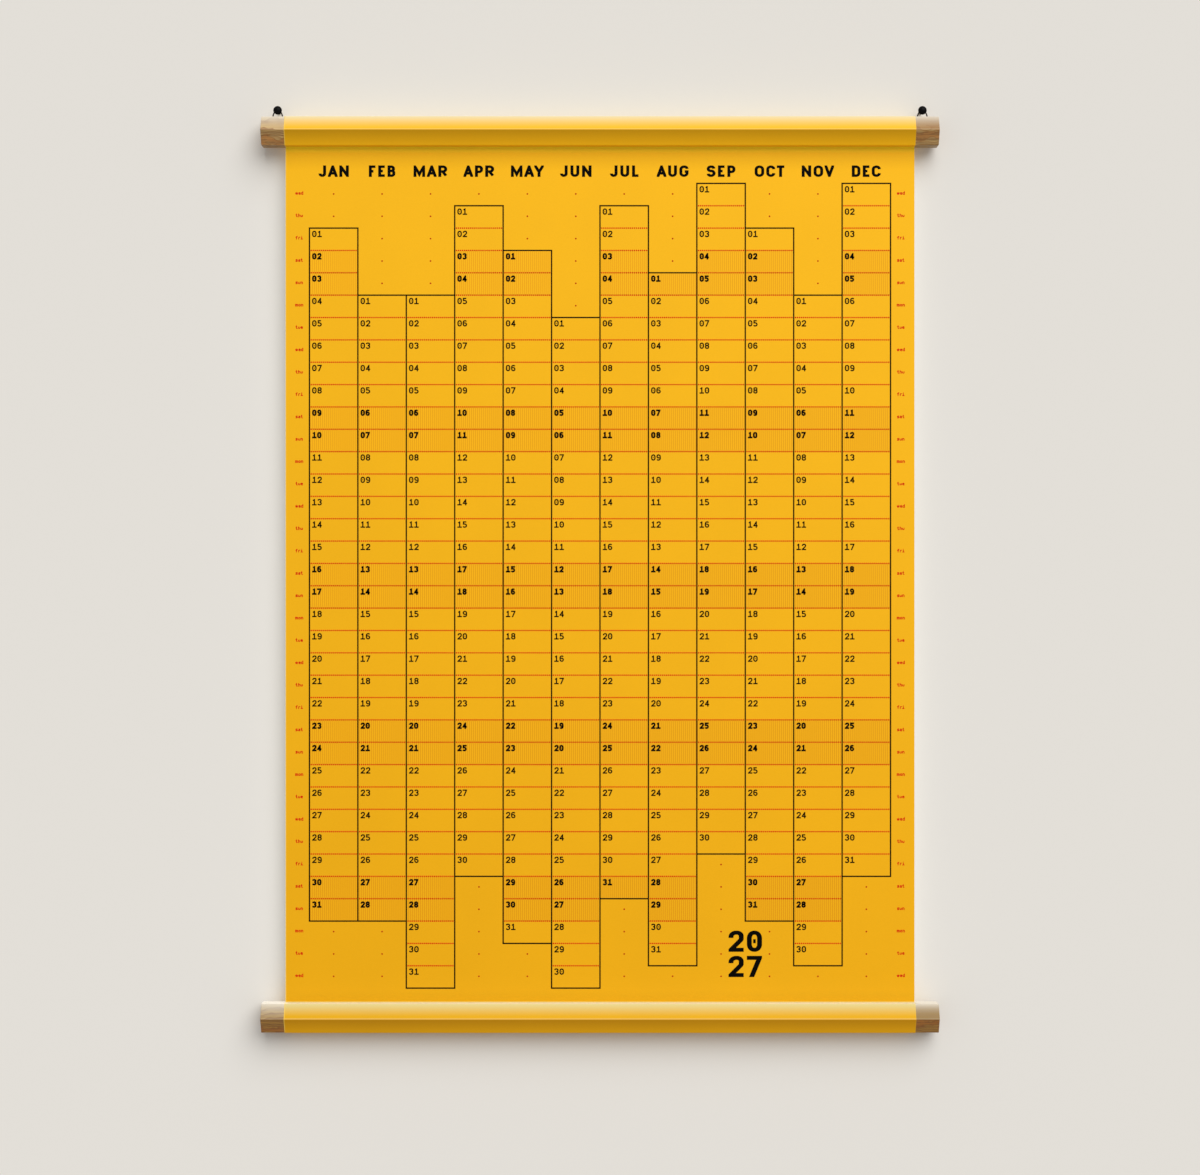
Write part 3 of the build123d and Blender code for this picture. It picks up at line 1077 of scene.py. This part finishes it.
signs["8"] = oval(0.03, 0.54, 0.97, 1) + oval(0, 0, 1, 0.54)
signs["9"] = [[(1 - x, 1 - z, *rounding) for x, z, *rounding in signs["6"][0]]]
signs["o"] = oval(0, 0, 1, 0.68, 0.9)
strokeStep = -0.008 * mm  # crossing strokes of one sign don't lie in one plane
weldReach = 1e-7
sameReach = 1e-6


def signWidth(sign, style):
    return style.get("widths", {}).get(sign, style["width"])


def strokeStrip(work, corners, width, steps, box, front):
    # adds one flat stroke, facing the front, square at its ends and mitred at its corners
    path = []
    for place in roundedPath(corners, steps):
        if not path or (place - path[-1]).length > sameReach:
            path.append(place)
    closed = (path[0] - path[-1]).length < sameReach
    if closed:
        path.pop()
    else:
        for end, inner in ((0, 1), (-1, -2)):
            # runs on to the edge of the box, and past it where it is slanted, to be trimmed there
            outward = (path[end] - path[inner]).normalized()
            slanted = min(abs(outward.x), abs(outward.y)) > 0.05
            ahead = path[end] + outward * width * 0.6
            if not (0 < ahead.x < box[0] and 0 < ahead.y < box[1]):
                path[end] = path[end] + outward * width * (0.9 if slanted else 0.5)
    way = path + path[:1] if closed else path
    runs = [(end - start).normalized() for start, end in zip(way, way[1:])]
    normals = [Vector((-run.y, run.x)) for run in runs]
    rows = []
    for number, place in enumerate(path):
        before = normals[number - 1 if closed else max(number - 1, 0)]
        after = normals[min(number, len(normals) - 1)]
        mitre = (before + after).normalized()
        reach = width / 2 / max(mitre.dot(before), 0.25)
        sides = [(place.x + s * mitre.x * reach, front, place.y + s * mitre.y * reach) for s in (1, -1)]
        rows.append([work.verts.new(side) for side in sides])
    for here, there in zip(rows, rows[1:] + rows[:1] if closed else rows[1:]):
        work.faces.new((here[0], here[1], there[1], there[0]))


def signMesh(sign, style):
    # a style may have strokes of its own for a sign
    height, stroke = style["height"], style["stroke"]
    stretch = style.get("stretch", 1)  # makes uprights heavier than bars
    width = signWidth(sign, style) / stretch
    across, up = width - stroke, height - stroke
    work = bmesh.new()
    for number, corners in enumerate(style.get("strokes", signs).get(sign, signs[sign])):
        placed = []
        for x, z, *rounding in corners:
            placed.append((stroke / 2 + x * across, stroke / 2 + z * up, sum(rounding) * across / 2))
        strokeStrip(work, placed, stroke, style["steps"], (width, height), number * strokeStep)
    if sign == "0":
        dot = style["zeroDot"]
        ends = [(width / 2, height / 2 + side * 0.95 * dot, 0) for side in (-1, 1)]
        strokeStrip(work, ends, dot, 1, (width, height), 0)
    for edge, outward in ((0, (0, 0, -1)), (height, (0, 0, 1)), (0, (-1, 0, 0)), (width, (1, 0, 0))):
        bmesh.ops.bisect_plane(
            work, geom=work.verts[:] + work.edges[:] + work.faces[:], dist=weldReach,
            plane_co=[edge * part for part in outward], plane_no=outward, clear_outer=True,
        )
    bmesh.ops.remove_doubles(work, verts=work.verts, dist=weldReach)
    bmesh.ops.scale(work, verts=work.verts, vec=(stretch, 1, 1))
    grown = bmesh.ops.extrude_face_region(work, geom=work.faces[:], use_keep_orig=True)
    raised = [item for item in grown["geom"] if isinstance(item, bmesh.types.BMVert)]
    bmesh.ops.translate(work, verts=raised, vec=(0, -printing["typeInk"], 0))
    return finishMesh(work, bpy.data.meshes.new("sign"))


def gapAfter(sign, following, style):
    sides = style.get("sides", {})
    plain = (style["gap"] / 2, style["gap"] / 2)
    return sides.get(sign, plain)[1] + sides.get(following, plain)[0]


def centred(word, style, middle, foot):
    # places a word on the plain paper, with its middle at middle
    width = sum(signWidth(sign, style) for sign in word)
    width += sum(gapAfter(sign, following, style) for sign, following in zip(word, word[1:]))
    return (word, middle - width / 2, foot, paperFront)


def setType(name, style, words, inkName, slotName):
    # words are (text, left, foot, depth of the surface they lie on)
    known, places = [], []
    for word, left, foot, depth in words:
        for sign, following in zip(word, word[1:] + word[-1]):
            if sign not in known:
                known.append(sign)
            places.append((known.index(sign), (left, depth, foot)))
            left += signWidth(sign, style) + gapAfter(sign, following, style)
    piece = placeParts(name, [signMesh(sign, style) for sign in known], places, ink[inkName])
    settle(piece, slotName)
    print(name, len(places), "signs,", len(piece.data.polygons), "faces")


dayNumber = {
    "width": 5.0 * mm, "height": 7.2 * mm, "stroke": 1.4 * mm, "gap": 0.85 * mm, "steps": 2,
    "zeroDot": 0.7 * mm,
    "aside": 2.95 * mm,  # from the column line
    "down": 2.9 * mm,  # from the top of the row
}
weekendNumber = {**dayNumber, "width": 4.95 * mm, "stroke": 1.9 * mm, "gap": 0.6 * mm, "zeroDot": 0.6 * mm}
plainDays, weekendDays = [], []
for number, first, days in months:
    for day in range(days):
        foot = rowLevel(first + day) - dayNumber["down"] - dayNumber["height"]
        weekend = (printing["topRowWeekday"] + first + day) % 7 > 4
        words, depth = (weekendDays, fieldFront) if weekend else (plainDays, paperFront)
        words.append((f"{day + 1:02d}", columnAt(number) + dayNumber["aside"], foot, depth))
setType("dayNumbers", dayNumber, plainDays, "thinInk", "dark_ink")
setType("weekendNumbers", weekendNumber, weekendDays, "blackInk", "dark_ink")

monthName = {
    "width": 9.9 * mm, "height": 12.8 * mm, "stroke": 2.85 * mm, "stretch": 1.18, "gap": 3.0 * mm, "steps": 5,
    "widths": {sign: width * mm for sign, width in {
        "A": 10.8, "B": 8.7, "C": 10.2, "D": 9.6, "E": 7.4, "F": 7.4, "G": 10.3, "J": 8.5, "L": 7.2,
        "M": 13.0, "N": 10.6, "O": 10.7, "P": 9.0, "R": 10.3, "T": 8.4, "V": 10.7, "Y": 10.7,
    }.items()},
    # room at the left and right of signs whose sides aren't upright
    "sides": {sign: (left * mm, right * mm) for sign, left, right in [
        ("A", 0.4, 0.4), ("V", 0.4, 0.4), ("Y", -0.1, 0.4), ("T", 0.7, 0.7), ("J", 0.8, 1.6), ("L", 1.6, 0.8),
        ("O", 1.1, 1.1), ("C", 1.1, 0.9), ("G", 1.1, 1.4), ("S", 1.1, 1.1), ("D", 1.6, 1.1), ("P", 1.6, 0.9),
    ]},
    "foot": 7.2 * mm,  # above the first row
}
names = "JAN FEB MAR APR MAY JUN JUL AUG SEP OCT NOV DEC".split()
foot = gridTop + monthName["foot"]
headings = [centred(word, monthName, columnAt(number + 0.5), foot) for number, word in enumerate(names)]
setType("monthNames", monthName, headings, "blackInk", "dark_ink")

weekdayName = {
    "width": 2.5 * mm, "height": 3.9 * mm, "stroke": 0.84 * mm, "gap": 0.36 * mm, "steps": 2,
    "widths": {"m": 3.3 * mm, "w": 3.3 * mm},
    "aside": 11.4 * mm,  # from the grid to the middle of the word
    "down": 0.2 * mm,  # from the middle of the row to the foot of the word
}
shortDays = "mon tue wed thu fri sat sun".split()
labels = []
for row in range(rowCount):
    word = shortDays[(printing["topRowWeekday"] + row) % 7]
    for middle in (gridLeft - weekdayName["aside"], gridRight + weekdayName["aside"]):
        labels.append(centred(word, weekdayName, middle, rowLevel(row + 0.5) - weekdayName["down"]))
setType("weekdayNames", weekdayName, labels, "redInk", "orange_ink")

yearNumber = {
    "width": 16.9 * mm, "height": 23.6 * mm, "stroke": 4.5 * mm, "stretch": 1.22, "gap": 3.5 * mm, "steps": 8,
    "zeroDot": 2.4 * mm,
    "column": 9,  # its middle is on this column line
    "foot": 12.3 * mm,  # of the lower pair, above the grid's foot
    "pitch": 28.1 * mm,
    "strokes": {"0": strokes(
        "0,0.5 0,0.79,1.9 0.24,1,0.84 0.76,1,0.84 1,0.79,1.9 "
        "1,0.21,1.9 0.76,0,0.84 0.24,0,0.84 0,0.21,1.9 0,0.5"
    )},
}
middle = columnAt(yearNumber["column"])
foot = gridFoot + yearNumber["foot"]
yearPairs = [
    centred(str(printing["year"] // 100), yearNumber, middle, foot + yearNumber["pitch"]),
    centred(str(printing["year"] % 100), yearNumber, middle, foot),
]
setType("yearNumbers", yearNumber, yearPairs, "blackInk", "dark_ink")
print("type set")
